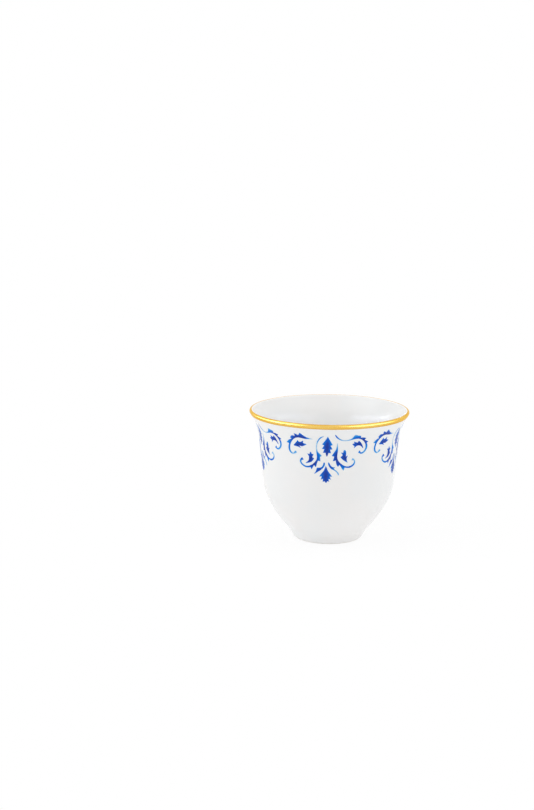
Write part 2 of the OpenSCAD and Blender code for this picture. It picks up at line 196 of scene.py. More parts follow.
wall_stops += along_curve(neck_curve, neck_steps)
wall_stops += along_curve(bowl_curve, bowl_steps, 1)
flare_stops = along_curve(flare_curve, flare_steps, 1)
wall_stops += flare_stops
lip_stops = along_round(lip_centre, lip_round, -lip_lean, gold_edge_angle, lip_steps)
crest_stops = along_round(lip_centre, lip_round, gold_edge_angle, 180 - lip_lean, crest_steps)

inside_stops = []
for i, (point, away) in enumerate(reversed(flare_stops[:-1])):
    height_share = 1 - (i + 1) / len(flare_stops)
    thick = wall_thick + (lip_thick - wall_thick) * height_share
    inside_stops.append((point - thick * away, -away))
floor_z = hollow_depth + floor_thick
inside_belly = belly - wall_thick * right_of(leaning(belly_lean))
inside_curve = (
    inside_belly,
    inside_belly - inside_handle * (belly.y - floor_z) * leaning(belly_lean),
    Vector((inside_handle * inside_belly.x, floor_z)),
    Vector((0, floor_z)),
)
inside_stops += along_curve(inside_curve, inside_steps)
coat_stops = wall_stops + lip_stops + crest_stops + inside_stops


def finished_mesh(bm, name):
    """A new object from a bmesh, with smooth faces and its hard corners kept."""
    for face in bm.faces:
        face.smooth = True
    for edge in bm.edges:
        edge.smooth = len(edge.link_faces) != 2 or edge.calc_face_angle() < sharp_angle
    mesh = bpy.data.meshes.new(name)
    bm.to_mesh(mesh)
    bm.free()
    piece = bpy.data.objects.new(name, mesh)
    bpy.context.scene.collection.objects.link(piece)
    return piece


def turned(section, name, closed=False):
    """A piece turned on the cup's axis from a section of (radius, height) points."""
    bm = bmesh.new()
    verts = [bm.verts.new((p.x, 0, p.y)) for p in section]
    edges = [bm.edges.new(pair) for pair in zip(verts, verts[1:])]
    if closed:
        edges.append(bm.edges.new((verts[-1], verts[0])))
    bmesh.ops.spin(
        bm, geom=verts + edges, cent=(0, 0, 0), axis=(0, 0, 1), dvec=(0, 0, 0),
        angle=2 * math.pi, steps=steps_round, use_merge=True,
    )
    bmesh.ops.remove_doubles(bm, verts=bm.verts, dist=merge_reach)
    bmesh.ops.dissolve_degenerate(bm, edges=bm.edges, dist=merge_reach)
    bmesh.ops.recalc_face_normals(bm, faces=bm.faces)
    return finished_mesh(bm, name)


class Wire:
    """A shader socket. Sums and products of wires add the Math nodes that work them out."""

    def __init__(self, tree, socket=None):
        self.tree = tree
        self.socket = socket

    def node(self, kind, settings=None, values=None, output=0):
        """Adds any node: its settings first, then its sockets' values or wires."""
        made = self.tree.nodes.new(kind)
        for name, value in (settings or {}).items():
            if name == "stops":
                ramp = made.color_ramp.elements
                while len(ramp) < len(value):
                    ramp.new(1)
                for element, (place, shade) in zip(ramp, value):
                    element.position = place
                    element.color = shade
            else:
                setattr(made, name, value)
        for name, value in (values or {}).items():
            if isinstance(value, Wire):
                self.tree.links.new(value.socket, made.inputs[name])
            else:
                made.inputs[name].default_value = value
        return Wire(self.tree, made.outputs[output])

    def maths(self, operation, *values):
        """Adds a Math node."""
        return self.node("ShaderNodeMath", {"operation": operation}, dict(enumerate(values)))

    def __add__(self, other):
        return self.maths("ADD", self, other)

    def __radd__(self, other):
        return self.maths("ADD", other, self)

    def __sub__(self, other):
        return self.maths("SUBTRACT", self, other)

    def __rsub__(self, other):
        return self.maths("SUBTRACT", other, self)

    def __mul__(self, other):
        return self.maths("MULTIPLY", self, other)

    def __rmul__(self, other):
        return self.maths("MULTIPLY", other, self)

    def or_more(self, other):
        """The larger of this and another."""
        return self.maths("MAXIMUM", self, other)

    def between(self, low, high):
        """0 below low, 1 above high and a smooth step between them."""
        return self.node(
            "ShaderNodeMapRange", {"interpolation_type": "SMOOTHSTEP"},
            {"Value": self, "From Min": low, "From Max": high, "To Min": 0.0, "To Max": 1.0},
        )


def noise(place, scale, detail):
    """A cloudy pattern of values round 0.5, in lumps of 1 / scale metres."""
    return place.node(
        "ShaderNodeTexNoise", None, {"Vector": place, "Scale": scale, "Detail": detail}
    )


def blend(share, first, second):
    """One colour where the share is 0, another where it is 1."""
    return share.node(
        "ShaderNodeMix", {"data_type": "RGBA"}, {0: share, 6: first, 7: second}, output=2
    )


def relief(pattern, depth, strength):
    """The surface's direction, tilted as if the pattern stood out of it."""
    return pattern.node(
        "ShaderNodeBump", None, {"Height": pattern, "Distance": depth, "Strength": strength}
    )


def colour(red, green, blue):
    """A colour as a shader takes it, from how it looks on a scale of 0 to 255."""
    parts = [value / 255 for value in (red, green, blue)]
    parts = [p / 12.92 if p <= 0.04045 else ((p + 0.055) / 1.055) ** 2.4 for p in parts]
    return (*parts, 1.0)


def new_finish(name, **constants):
    """A material, its Principled shader, and the place on the piece to start patterns from."""
    material = bpy.data.materials.new(name)
    material.use_nodes = True
    shader = material.node_tree.nodes["Principled BSDF"]
    for socket, value in constants.items():
        shader.inputs[socket.replace("_", " ")].default_value = value
    place = Wire(material.node_tree).node("ShaderNodeTexCoord", output="Object")
    return material, shader, place


def feed(shader, socket, wire):
    """Joins a wire to a socket of a shader, or of the node that ends a tree."""
    wire.tree.links.new(wire.socket, shader.inputs[socket])


def bare_porcelain():
    """Unglazed porcelain: chalky, warm white, with a fine grain and a few grey rubs."""
    chalk_white, rub_grey = colour(243, 241, 236), colour(214, 210, 202)
    material, shader, place = new_finish("bare_porcelain", Specular_IOR_Level=0.3)
    grain = noise(place, scale=5200.0, detail=4.0)
    rubs = noise(place, scale=420.0, detail=6.0)
    rubbed = rubs.between(0.52, 0.7) * 0.5 + grain * 0.15
    feed(shader, "Base Color", blend(rubbed, chalk_white, rub_grey))
    feed(shader, "Roughness", 0.62 + grain * 0.25)
    feed(shader, "Normal", relief(grain + rubs * 0.5, depth=0.02 * MM, strength=0.5))
    return material


def dress(piece, material, slot_name, *nodes):
    """Gives a piece its material and its place in the cup, and hides the CAD nodes that it stands
    for.
    """
    piece.data.materials.clear()
    piece.data.materials.append(material)
    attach(piece, "root")
    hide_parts(*nodes)


body_section = moved(hollow_stops + ring_stops + coat_stops, 0)
body = turned(body_section, "porcelain_cup")
dress(body, bare_porcelain(), "bare_porcelain", "porcelain_body")

# Glaze
# A glassy coat about 0.15 mm thick, dipped on and fired. It covers everything but the standing
# ring, gathers in a soft bead where it was wiped off the foot, and is very slightly uneven, as
# dipped glaze is.
wiped_back = 0.35 * glaze_thick
bead_rise = 0.05 * MM

# Where the bead's crest and tail lie, as shares of the wall's first step, and their rise
bead_crest = 0.04, bead_rise
bead_tail = 0.16, bead_rise / 2


def coat_section(stops, bead_at_start):
    """The coat's section: out along its glossy face, and back along the porcelain."""
    outer = moved(stops, glaze_thick)
    if bead_at_start:
        (edge, away), (above, _) = stops[:2]
        outer[0] = outer[0] - wiped_back * away
        outer[1:1] = [
            edge.lerp(above, share) + (glaze_thick + rise) * away
            for share, rise in (bead_crest, bead_tail)
        ]
    return outer + moved(reversed(stops), 0)


def glossy_glaze():
    """Clear glaze on white porcelain: neutral white, glossy, with a faint ripple and mottle."""
    cool_white, warm_white = colour(243, 244, 244), colour(245, 244, 243)
    speck_grey = colour(205, 206, 203)
    material, shader, place = new_finish("white_glaze", IOR=1.45, Specular_IOR_Level=0.45)
    mottle = noise(place, scale=55.0, detail=3.0)
    ripple = noise(place, scale=260.0, detail=2.0)
    specks = noise(place, scale=2600.0, detail=2.0)
    mottled = blend(mottle.between(0.35, 0.65), cool_white, warm_white)
    speckled = blend(specks.between(0.74, 0.82) * 0.12, mottled, speck_grey)
    feed(shader, "Base Color", speckled)
    feed(shader, "Roughness", 0.2 + mottle * 0.05 + ripple * 0.02)
    feed(shader, "Normal", relief(ripple + mottle * 2.0, depth=0.03 * MM, strength=0.15))
    return material


glaze_finish = glossy_glaze()
outer_coat = turned(coat_section(coat_stops, True), "glaze_outside_and_inside")
dress(outer_coat, glaze_finish, "white_glaze", "glaze_coat")
hollow_coat = turned(coat_section(hollow_stops, False), "glaze_in_foot_hollow")
dress(hollow_coat, glaze_finish, "white_glaze", "glaze_coat")

# Gold line
# Bright gold, brushed round the lip on a turning wheel and fired on. It runs from just inside
# the crest down the outside. The brush leaves fine streaks along it, and its lower edge
# wanders a little.
gold_drop = 1.95 * MM
gold_low_z = cup_height - gold_drop
gold_film = 0.06 * MM
edge_wander = 0.07 * MM
wander_reach = 0.5 * MM
# How far the painted shade reaches up from the gold's low edge and down from its top
low_edge_reach = 0.1 * MM, 0.8 * MM
high_edge_reach = 0.2 * MM
brush_stretch = 1.0, 1.0, 26.0

# Share of the film that is left at its two edges, and of its lowest step where it thins
thinned = 0.25
thinned_run = 0.3

# How many waves the low edge has once round, where they start and their share of its wander
edge_waves = (3, 0.4, 1.0), (7, 2.1, 0.6), (17, 0.0, 0.4)


def gold_section():
    """The line's section: its bright face from the low edge up, and back along the glaze."""
    stops = [(p + glaze_thick * away, away) for p, away in wall_stops + lip_stops]
    above = [s for s in stops if s[0].y > gold_low_z]
    last_under = [s for s in stops if s[0].y <= gold_low_z][-1]
    share = (gold_low_z - last_under[0].y) / (above[0][0].y - last_under[0].y)
    low = (last_under[0].lerp(above[0][0], share), last_under[1].lerp(above[0][1], share))
    stops = [low, (low[0].lerp(above[0][0], thinned_run), low[1])] + above
    films = [thinned * gold_film] + [gold_film] * (len(stops) - 2) + [thinned * gold_film]
    face = [p + film * away for (p, away), film in zip(stops, films)]
    return face + [p for p, away in reversed(stops)]


def brushed_gold():
    """Fired bright gold: a mirror with brush streaks, with painted shade that deepens its colour
    along both edges.
    """
    plain_gold, pale_gold = colour(233, 187, 88), colour(242, 203, 112)
    deep_gold = colour(218, 166, 58)
    material, shader, place = new_finish(
        "gold_lustre", Metallic=1.0, Specular_Tint=colour(255, 236, 190)
    )
    stretched = place.node(
        "ShaderNodeVectorMath", {"operation": "MULTIPLY"}, {0: place, 1: brush_stretch}
    )
    streaks = noise(stretched, scale=90.0, detail=5.0)
    thin = noise(place, scale=160.0, detail=3.0)
    streaked = blend(streaks.between(0.35, 0.65), plain_gold, pale_gold)
    height = place.node("ShaderNodeSeparateXYZ", None, {0: place}, output="Z")
    # Painted shade: the gold is deeper in colour along its low edge and its top, mixed with random
    # deeper patches
    low_edge_shade = 1 - height.between(*(gold_low_z + reach for reach in low_edge_reach))
    high_edge_shade = height.between(cup_height - high_edge_reach, cup_height + gold_film)
    edge_shade_and_patches = (low_edge_shade * 0.7).or_more(high_edge_shade * 0.5).or_more(thin.between(0.6, 0.75) * 0.4)
    feed(shader, "Base Color", blend(edge_shade_and_patches, streaked, deep_gold))
    feed(shader, "Roughness", 0.17 + streaks * 0.1)
    feed(shader, "Normal", relief(streaks, depth=0.01 * MM, strength=0.35))
    return material


gold = turned(gold_section(), "gold_rim_band", closed=True)
for vertex in gold.data.vertices:
    rise = (vertex.co.z - gold_low_z) / wander_reach
    if rise < 1:
        turn = math.atan2(vertex.co.y, vertex.co.x)
        wander = sum(size * math.sin(count * turn + start) for count, start, size in edge_waves)
        slide = edge_wander * wander / 2 * (1 - max(0, rise))
        way = leaning(lip_lean)
        radial = Vector((vertex.co.x, vertex.co.y, 0)).normalized()
        vertex.co += slide * (way.x * radial + Vector((0, 0, way.y)))
dress(gold, brushed_gold(), "gold_lustre", "gold_rim_line")

# Printed scrolls
# Five transfers of cobalt blue enamel, alike, evenly spaced and fired on to the glaze. Each is
# a leafy scroll about a middle line, with fronds that end in curls, small leaves and sprigs.
# The enamel is deepest in the leaves and washes out at the edges and along the thin stems.
print_count = 5
print_pitch = math.radians(360 / print_count)
print_height = 20.9 * MM
print_drop = 4.1 * MM
print_top = cup_height - print_drop
enamel_lift = 0.012 * MM
enamel_thick = 0.03 * MM

# Half a scroll's width as a share of its height, and how much of its fifth it fills
motif_half = 0.815
print_fill = 0.94
turn_per_share = print_fill * print_pitch / (2 * motif_half)

# Each piece is a grid with so many columns, and rows at most so many stations apart. Its
# edges lean forward along its centre line, as the teeth of a leaf do.
columns_across = 8
station_step = 0.12
nudge = 0.01
tip_lean = 0.6

# How far the blue washes out towards an edge: at any edge, and more where it reaches far
thin_edge = 0.17
thin_tip = 4.8
thin_curve = 1.6

# Each piece of the print, in shares of the print's height, x from the middle line and y down
# from its top: its centre line, whose points are stations 0, 1, 2 and so on; its edges as
# (station, reach to one side, reach to the other); its blue as (station, depth)
left_half = [
    {"line": [  # outer frond
        (0.265, 0.118), (0.330, 0.112), (0.400, 0.106), (0.470, 0.097), (0.540, 0.093),
        (0.605, 0.107), (0.660, 0.142), (0.703, 0.190), (0.735, 0.243), (0.754, 0.298),
        (0.760, 0.352), (0.748, 0.402), (0.716, 0.438), (0.672, 0.447), (0.610, 0.404),
    ], "edges": [
        (0, 0.004, 0.004), (1, 0.012, 0.010), (1.6, 0.024, 0.016), (2.2, 0.052, 0.018),
        (2.74, 0.096, 0.018), (3.63, 0.038, 0.014), (4.2, 0.080, 0.014), (4.72, 0.026, 0.015),
        (5, 0.050, 0.016), (5.3, 0.060, 0.017), (6, 0.050, 0.018), (6.3, 0.014, 0.018),
        (6.6, 0.034, 0.018), (7, 0.050, 0.018), (7.8, 0.072, 0.018), (8.1, 0.018, 0.018),
        (9, 0.020, 0.020), (10, 0.020, 0.020), (11, 0.019, 0.019), (12, 0.017, 0.017),
        (12.9, 0.013, 0.013), (13.2, 0.018, 0.018), (13.55, 0.028, 0.028),
        (13.8, 0.022, 0.022), (14, 0.008, 0.008),
    ], "blue": [
        (0, 0.05), (0.8, 0.2), (1.5, 0.55), (2.2, 0.9), (3, 1), (4.5, 0.97), (5.5, 0.85),
        (6.5, 0.68), (8, 0.6), (9, 0.52), (10, 0.55), (11, 0.42), (12, 0.3), (13, 0.14),
        (13.5, 0.25), (14, 0.3),
    ]},
    {"line": [  # inner frond
        (0.062, 0.048), (0.112, 0.074), (0.155, 0.125), (0.184, 0.185), (0.198, 0.245),
        (0.200, 0.305), (0.193, 0.365), (0.183, 0.425), (0.180, 0.485), (0.190, 0.540),
        (0.222, 0.588), (0.262, 0.632), (0.310, 0.664), (0.362, 0.684), (0.415, 0.687),
        (0.463, 0.668), (0.502, 0.635), (0.522, 0.592), (0.510, 0.556), (0.475, 0.532),
    ], "edges": [
        (0, 0.005, 0.005), (1, 0.012, 0.012), (3, 0.012, 0.012), (4, 0.011, 0.011),
        (5, 0.012, 0.012), (6, 0.015, 0.015), (6.43, 0.016, 0.049), (6.87, 0.017, 0.082),
        (7.5, 0.016, 0.044), (8.6, 0.016, 0.062), (8.85, 0.016, 0.022), (9.3, 0.015, 0.025),
        (9.8, 0.014, 0.040), (10.5, 0.014, 0.070), (10.85, 0.014, 0.018), (11.3, 0.014, 0.038),
        (11.8, 0.014, 0.070), (12.2, 0.013, 0.022), (13, 0.014, 0.018), (14, 0.016, 0.016),
        (15, 0.015, 0.015), (16, 0.016, 0.016), (17, 0.018, 0.018), (17.7, 0.020, 0.020),
        (18.1, 0.024, 0.024), (18.45, 0.028, 0.028), (18.75, 0.022, 0.022), (19, 0.012, 0.012),
    ], "blue": [
        (0, 0.4), (1.5, 0.42), (2.5, 0.3), (3.5, 0.12), (5, 0.1), (6, 0.32), (7, 0.6),
        (8, 0.68), (9, 0.78), (10, 0.95), (11, 0.97), (12, 0.8), (13, 0.62), (14, 0.52),
        (15.5, 0.42), (17, 0.35), (17.6, 0.5), (18.2, 0.66), (19, 0.68),
    ]},
    {"line": [  # outer leaf
        (0.658, 0.282), (0.612, 0.266), (0.566, 0.253), (0.520, 0.246), (0.476, 0.244),
        (0.435, 0.242), (0.393, 0.238),
    ], "edges": [
        (0, 0.004, 0.004), (0.15, 0.015, 0.015), (0.6, 0.030, 0.034), (1.1, 0.045, 0.055),
        (1.5, 0.070, 0.088), (1.75, 0.084, 0.068), (2.15, 0.028, 0.050), (2.85, 0.042, 0.048),
        (3.5, 0.038, 0.082), (4, 0.032, 0.030), (4.5, 0.026, 0.024), (5.2, 0.015, 0.015),
        (6, 0.003, 0.003),
    ], "blue": [(0, 0.6), (1, 0.88), (2, 1), (4, 0.95), (5, 0.7), (6, 0.35)]},
    {"line": [  # inner leaf
        (0.420, 0.617), (0.378, 0.596), (0.341, 0.565), (0.319, 0.520), (0.312, 0.472),
        (0.313, 0.428), (0.317, 0.382),
    ], "edges": [
        (0, 0.004, 0.004), (0.5, 0.012, 0.010), (1, 0.020, 0.014), (1.5, 0.033, 0.020),
        (2, 0.046, 0.030), (2.5, 0.058, 0.036), (2.85, 0.063, 0.039), (3.4, 0.026, 0.043),
        (4.1, 0.046, 0.078), (4.35, 0.052, 0.050), (4.8, 0.020, 0.024), (5.4, 0.013, 0.016),
        (6, 0.003, 0.003),
    ], "blue": [(0, 0.4), (1, 0.78), (2, 1), (3.4, 1), (4.3, 0.85), (5, 0.7), (6, 0.5)]},
    {"line": [  # sprig
        (0.052, 0.585), (0.058, 0.635), (0.085, 0.685), (0.130, 0.722), (0.175, 0.752),
        (0.210, 0.787), (0.245, 0.825),
    ], "edges": [
        (0, 0.008, 0.008), (0.3, 0.018, 0.018), (1, 0.017, 0.018), (2, 0.020, 0.018),
        (2.5, 0.024, 0.021), (3.1, 0.058, 0.025), (4, 0.028, 0.022), (5, 0.012, 0.012),
        (6, 0.004, 0.004),
    ], "blue": [(0, 0.55), (1, 0.5), (2, 0.62), (3, 0.87), (4, 0.85), (5, 0.6), (6, 0.35)]},
]
right_half = [
    {"line": [  # outer frond
        (0.143, 0.006), (0.163, 0.045), (0.195, 0.083), (0.240, 0.115), (0.300, 0.136),
        (0.365, 0.138), (0.430, 0.124), (0.495, 0.106), (0.560, 0.099), (0.620, 0.107),
        (0.672, 0.132), (0.714, 0.166), (0.745, 0.208), (0.768, 0.255), (0.773, 0.305),
        (0.760, 0.350), (0.732, 0.388), (0.695, 0.412), (0.657, 0.412), (0.622, 0.380),
    ], "edges": [
        (0, 0.006, 0.006), (1, 0.014, 0.014), (2, 0.013, 0.013), (3, 0.011, 0.011),
        (4, 0.009, 0.009), (5, 0.010, 0.010), (6, 0.014, 0.013), (6.3, 0.022, 0.013),
        (6.5, 0.045, 0.013), (6.75, 0.082, 0.013), (7.63, 0.057, 0.012), (8.45, 0.050, 0.012),
        (8.9, 0.014, 0.014), (9.5, 0.040, 0.015), (10.2, 0.056, 0.016), (10.6, 0.012, 0.016),
        (11.2, 0.034, 0.016), (11.7, 0.056, 0.016), (12.1, 0.018, 0.017), (13, 0.022, 0.022),
        (14, 0.021, 0.021), (15, 0.020, 0.020), (16, 0.018, 0.018), (17, 0.017, 0.017),
        (18, 0.016, 0.016), (18.3, 0.020, 0.020), (18.55, 0.027, 0.027), (18.8, 0.022, 0.022),
        (19, 0.012, 0.012),
    ], "blue": [
        (0, 0.6), (1, 0.62), (2, 0.5), (3, 0.3), (4, 0.15), (5, 0.12), (6, 0.3), (7, 0.6),
        (8, 0.68), (9, 0.85), (10, 1), (11, 0.95), (12, 0.8), (13, 0.5), (14, 0.4),
        (16, 0.35), (17, 0.4), (18, 0.5), (19, 0.55),
    ]},
    {"line": [  # inner frond
        (0.190, 0.190), (0.191, 0.250), (0.188, 0.310), (0.183, 0.370), (0.178, 0.430),
        (0.180, 0.490), (0.198, 0.545), (0.232, 0.592), (0.275, 0.632), (0.325, 0.663),
        (0.380, 0.682), (0.435, 0.684), (0.487, 0.666), (0.526, 0.632), (0.543, 0.588),
        (0.530, 0.548), (0.490, 0.526),
    ], "edges": [
        (0, 0.006, 0.006), (1, 0.014, 0.010), (2, 0.019, 0.020), (2.6, 0.020, 0.042),
        (3.2, 0.020, 0.068), (3.67, 0.019, 0.084), (4.15, 0.018, 0.040), (4.6, 0.018, 0.048),
        (5.1, 0.017, 0.078), (5.55, 0.016, 0.024), (6, 0.016, 0.040), (6.5, 0.016, 0.060),
        (7.1, 0.016, 0.070), (7.45, 0.016, 0.020), (8.1, 0.016, 0.040), (8.4, 0.015, 0.062),
        (8.95, 0.014, 0.080), (9.3, 0.014, 0.020), (10, 0.014, 0.014), (11, 0.018, 0.018),
        (12, 0.017, 0.017), (13, 0.017, 0.017), (14, 0.014, 0.014), (15, 0.016, 0.016),
        (15.2, 0.022, 0.022), (15.5, 0.028, 0.028), (15.8, 0.020, 0.020), (16, 0.010, 0.010),
    ], "blue": [
        (0, 0.05), (1, 0.2), (2, 0.42), (3, 0.82), (4, 0.98), (6, 1), (7, 0.95), (8, 0.72),
        (9, 0.6), (10, 0.6), (11, 0.66), (12, 0.6), (13, 0.45), (14, 0.25), (15, 0.14),
        (16, 0.25),
    ]},
    {"line": [  # outer leaf
        (0.705, 0.322), (0.676, 0.276), (0.640, 0.240), (0.597, 0.222), (0.550, 0.222),
        (0.512, 0.226), (0.478, 0.220),
    ], "edges": [
        (0, 0.005, 0.005), (0.8, 0.012, 0.014), (1.5, 0.020, 0.026), (2, 0.030, 0.040),
        (2.6, 0.041, 0.061), (3.2, 0.055, 0.026), (3.7, 0.084, 0.042), (4.15, 0.046, 0.056),
        (4.55, 0.030, 0.020), (5.1, 0.020, 0.016), (5.5, 0.012, 0.011), (6, 0.003, 0.003),
    ], "blue": [(0, 0.5), (1, 0.85), (2, 1), (3, 1), (4, 0.88), (5, 0.8), (6, 0.7)]},
    {"line": [  # inner leaf
        (0.405, 0.598), (0.376, 0.560), (0.350, 0.518), (0.334, 0.472), (0.331, 0.426),
        (0.333, 0.382), (0.331, 0.335),
    ], "edges": [
        (0, 0.003, 0.003), (0.5, 0.010, 0.008), (1, 0.027, 0.014), (1.5, 0.040, 0.035),
        (1.8, 0.048, 0.084), (2.5, 0.073, 0.033), (3.1, 0.038, 0.035), (3.6, 0.036, 0.036),
        (4, 0.070, 0.036), (4.35, 0.028, 0.034), (5, 0.024, 0.030), (5.5, 0.019, 0.022),
        (5.85, 0.010, 0.010), (6, 0.004, 0.004),
    ], "blue": [
        (0, 0.1), (0.6, 0.5), (1.2, 0.85), (2, 1), (3, 1), (4, 0.82), (5, 0.66), (6, 0.35),
    ]},
    {"line": [  # sprig
        (0.030, 0.583), (0.044, 0.630), (0.070, 0.673), (0.105, 0.706), (0.145, 0.735),
        (0.183, 0.764), (0.213, 0.800), (0.232, 0.843),
    ], "edges": [
        (0, 0.008, 0.008), (0.3, 0.016, 0.016), (1, 0.018, 0.018), (2, 0.022, 0.021),
        (2.5, 0.028, 0.021), (2.9, 0.052, 0.020), (3.4, 0.012, 0.014), (4, 0.012, 0.012),
        (5, 0.012, 0.012), (6, 0.014, 0.013), (6.7, 0.012, 0.011), (7, 0.004, 0.004),
    ], "blue": [(0, 0.4), (1, 0.66), (2, 0.78), (3, 0.66), (4, 0.32), (5, 0.25), (7, 0.25)]},
]
middle_line = [
    {"line": [  # centre leaf
        (0.012, 0.052), (0.010, 0.130), (0.006, 0.215), (0.002, 0.300), (-0.001, 0.385),
        (-0.003, 0.465),
    ], "edges": [
        (0, 0.003, 0.003), (0.42, 0.025, 0.025), (0.83, 0.055, 0.055), (1.12, 0.080, 0.080),
        (1.41, 0.100, 0.100), (1.87, 0.060, 0.060), (2.44, 0.100, 0.100), (2.87, 0.055, 0.055),
        (3.55, 0.078, 0.078), (3.88, 0.026, 0.026), (4.35, 0.020, 0.020), (4.75, 0.010, 0.010),
        (5, 0.003, 0.003),
    ], "blue": [(0, 0.4), (0.6, 0.66), (1.1, 0.74), (1.7, 0.92), (2.5, 1), (5, 0.95)]},
    {"line": [  # hanging leaf
        (-0.018, 0.662), (-0.020, 0.735), (-0.021, 0.805), (-0.020, 0.875), (-0.018, 0.940),
        (-0.014, 1),
    ], "edges": [
        (0, 0.003, 0.003), (0.36, 0.020, 0.020), (0.89, 0.038, 0.038), (1.26, 0.074, 0.074),
        (1.6, 0.106, 0.106), (1.9, 0.128, 0.128), (2.27, 0.078, 0.078), (3, 0.102, 0.102),
        (3.15, 0.056, 0.056), (4.02, 0.064, 0.064), (4.2, 0.027, 0.027), (4.7, 0.014, 0.014),
        (5, 0.003, 0.003),
    ], "blue": [(0, 0.6), (0.6, 0.82), (1.5, 0.95), (2.5, 1), (4.2, 0.97), (5, 0.6)]},
]


def read_table(rows, key, column=1):
    """A value from a table of rows, between the two rows on either side of a key."""
    for low, high in zip(rows, rows[1:]):
        if key <= high[0]:
            share = (key - low[0]) / (high[0] - low[0])
            return low[column] + (high[column] - low[column]) * max(0, share)
    return rows[-1][column]


def line_point(line, station):
    """A point on the smooth line through listed points."""
    points = [Vector(p) for p in line]
    k = max(0, min(math.floor(station), len(points) - 2))
    t = station - k
    b, c = points[k], points[k + 1]
    a = points[k - 1] if k > 0 else 2 * b - c
    d = points[k + 2] if k + 2 < len(points) else 2 * c - b
    return b + t / 2 * (c - a + t * (2 * a - 5 * b + 4 * c - d + t * (3 * (b - c) + d - a)))


def wall_place(share_x, share_y, lift, side):
    """Where a point of the flat print lies on the cup's curved wall."""
    height = print_top - share_y * print_height
    radius = read_table(wall_table, height) + lift
    turn = side * share_x * turn_per_share
    return Vector((radius * math.sin(turn), -radius * math.cos(turn), height))


wall_table = [(p.y, p.x) for p in moved(wall_stops, glaze_thick)]


def ring_stations(edges):
    """Stations of the rings: every edge row, and more between rows that lie apart."""
    stations = []
    for low, high in zip(edges, edges[1:]):
        steps = max(1, math.ceil((high[0] - low[0]) / station_step))
        stations += [low[0] + (high[0] - low[0]) * i / steps for i in range(steps)]
    return stations + [edges[-1][0]]


def add_enamel(bm, blue, piece, side):
    """One piece of the print: a grid bent to its outline and laid on the wall."""
    line = piece["line"]
    stations = ring_stations(piece["edges"])
    rows = len(stations) - 1
    made = bmesh.ops.create_grid(bm, x_segments=columns_across, y_segments=rows, size=0.5)
    for vertex in made["verts"]:
        across = 2 * vertex.co.x
        station = stations[round((vertex.co.y + 0.5) * rows)]
        way = (line_point(line, station + nudge) - line_point(line, station - nudge)).normalized()
        outward = right_of(way) if across < 0 else -right_of(way)
        reach = read_table(piece["edges"], station, 1 if across < 0 else 2)
        spot = line_point(line, station) + abs(across) * reach * (outward + tip_lean * way)
        washed = (thin_edge + thin_tip * reach) * abs(across) ** thin_curve
        vertex[blue] = read_table(piece["blue"], station) - washed
        vertex.co = wall_place(spot.x, spot.y, enamel_lift, side)


def print_mesh(name, turn):
    """All the enamel of one print, given its thickness and turned to its place."""
    bm = bmesh.new()
    blue = bm.verts.layers.float.new("blue_depth")
    for side, pieces in ((-1, left_half), (1, right_half + middle_line)):
        for piece in pieces:
            add_enamel(bm, blue, piece, side)
    for face in bm.faces:
        outward = Vector((face.calc_center_median().x, face.calc_center_median().y, 0))
        if face.normal.dot(outward) < 0:
            face.normal_flip()
    bm.normal_update()
    bmesh.ops.solidify(bm, geom=bm.faces[:], thickness=-enamel_thick)
    bmesh.ops.recalc_face_normals(bm, faces=bm.faces)
    bmesh.ops.rotate(bm, verts=bm.verts, cent=(0, 0, 0), matrix=Matrix.Rotation(turn, 3, "Z"))
    return finished_mesh(bm, name)


def cobalt_enamel():
    """Cobalt blue under a glossy flux: navy where it lies thick, washed out where thin."""
    blues = [
        (0.0, colour(186, 216, 240)),
        (0.18, colour(98, 178, 234)),
        (0.36, colour(10, 136, 224)),
        (0.58, colour(8, 104, 211)),
        (0.8, colour(22, 76, 185)),
        (0.98, colour(30, 60, 153)),
    ]
    material, shader, place = new_finish("cobalt_enamel", Specular_IOR_Level=0.15)
    depth = place.node("ShaderNodeAttribute", {"attribute_name": "blue_depth"}, output="Fac")
    wash = noise(place, scale=700.0, detail=4.0)
    pooled = noise(place, scale=1900.0, detail=3.0)
    shade = depth + (wash - 0.5) * 0.22 + (pooled - 0.5) * 0.1
    feed(shader, "Base Color", shade.node("ShaderNodeValToRGB", {"stops": blues}, {"Fac": shade}))
    feed(shader, "Roughness", 0.15 + wash * 0.1)
    feed(shader, "Normal", relief(wash + pooled, depth=0.01 * MM, strength=0.3))
    return material


enamel_finish = cobalt_enamel()
for k in range(print_count):
    scroll = print_mesh(f"cobalt_scroll_{k + 1}", k * print_pitch)
    dress(scroll, enamel_finish, "cobalt_enamel", f"scroll_print_{k + 1}")

# Floor and backdrop
# A plain white table top that runs out to a white surround. It shows as white, and keeps the
# cup's faint shadow.
floor_size = 4.0
shadow_share = 0.12
shadow_reach = 0.12
bounce_share = 0.38
white = 1.0, 1.0, 1.0, 1.0


def emptied(owner):
    """A wire to start the nodes of a material or a world from, once it is emptied."""
    owner.use_nodes = True
    owner.node_tree.nodes.clear()
    return Wire(owner.node_tree)


def seen_ray(start):
    """1 for a ray that shows the surroundings: to the camera, in a reflection or through glass."""
    camera_ray, glossy_ray, glass_ray = (
        start.node("ShaderNodeLightPath", output=f"Is {kind} Ray")
        for kind in ("Camera", "Glossy", "Transmission")
    )
    return camera_ray.or_more(glossy_ray).or_more(glass_ray)


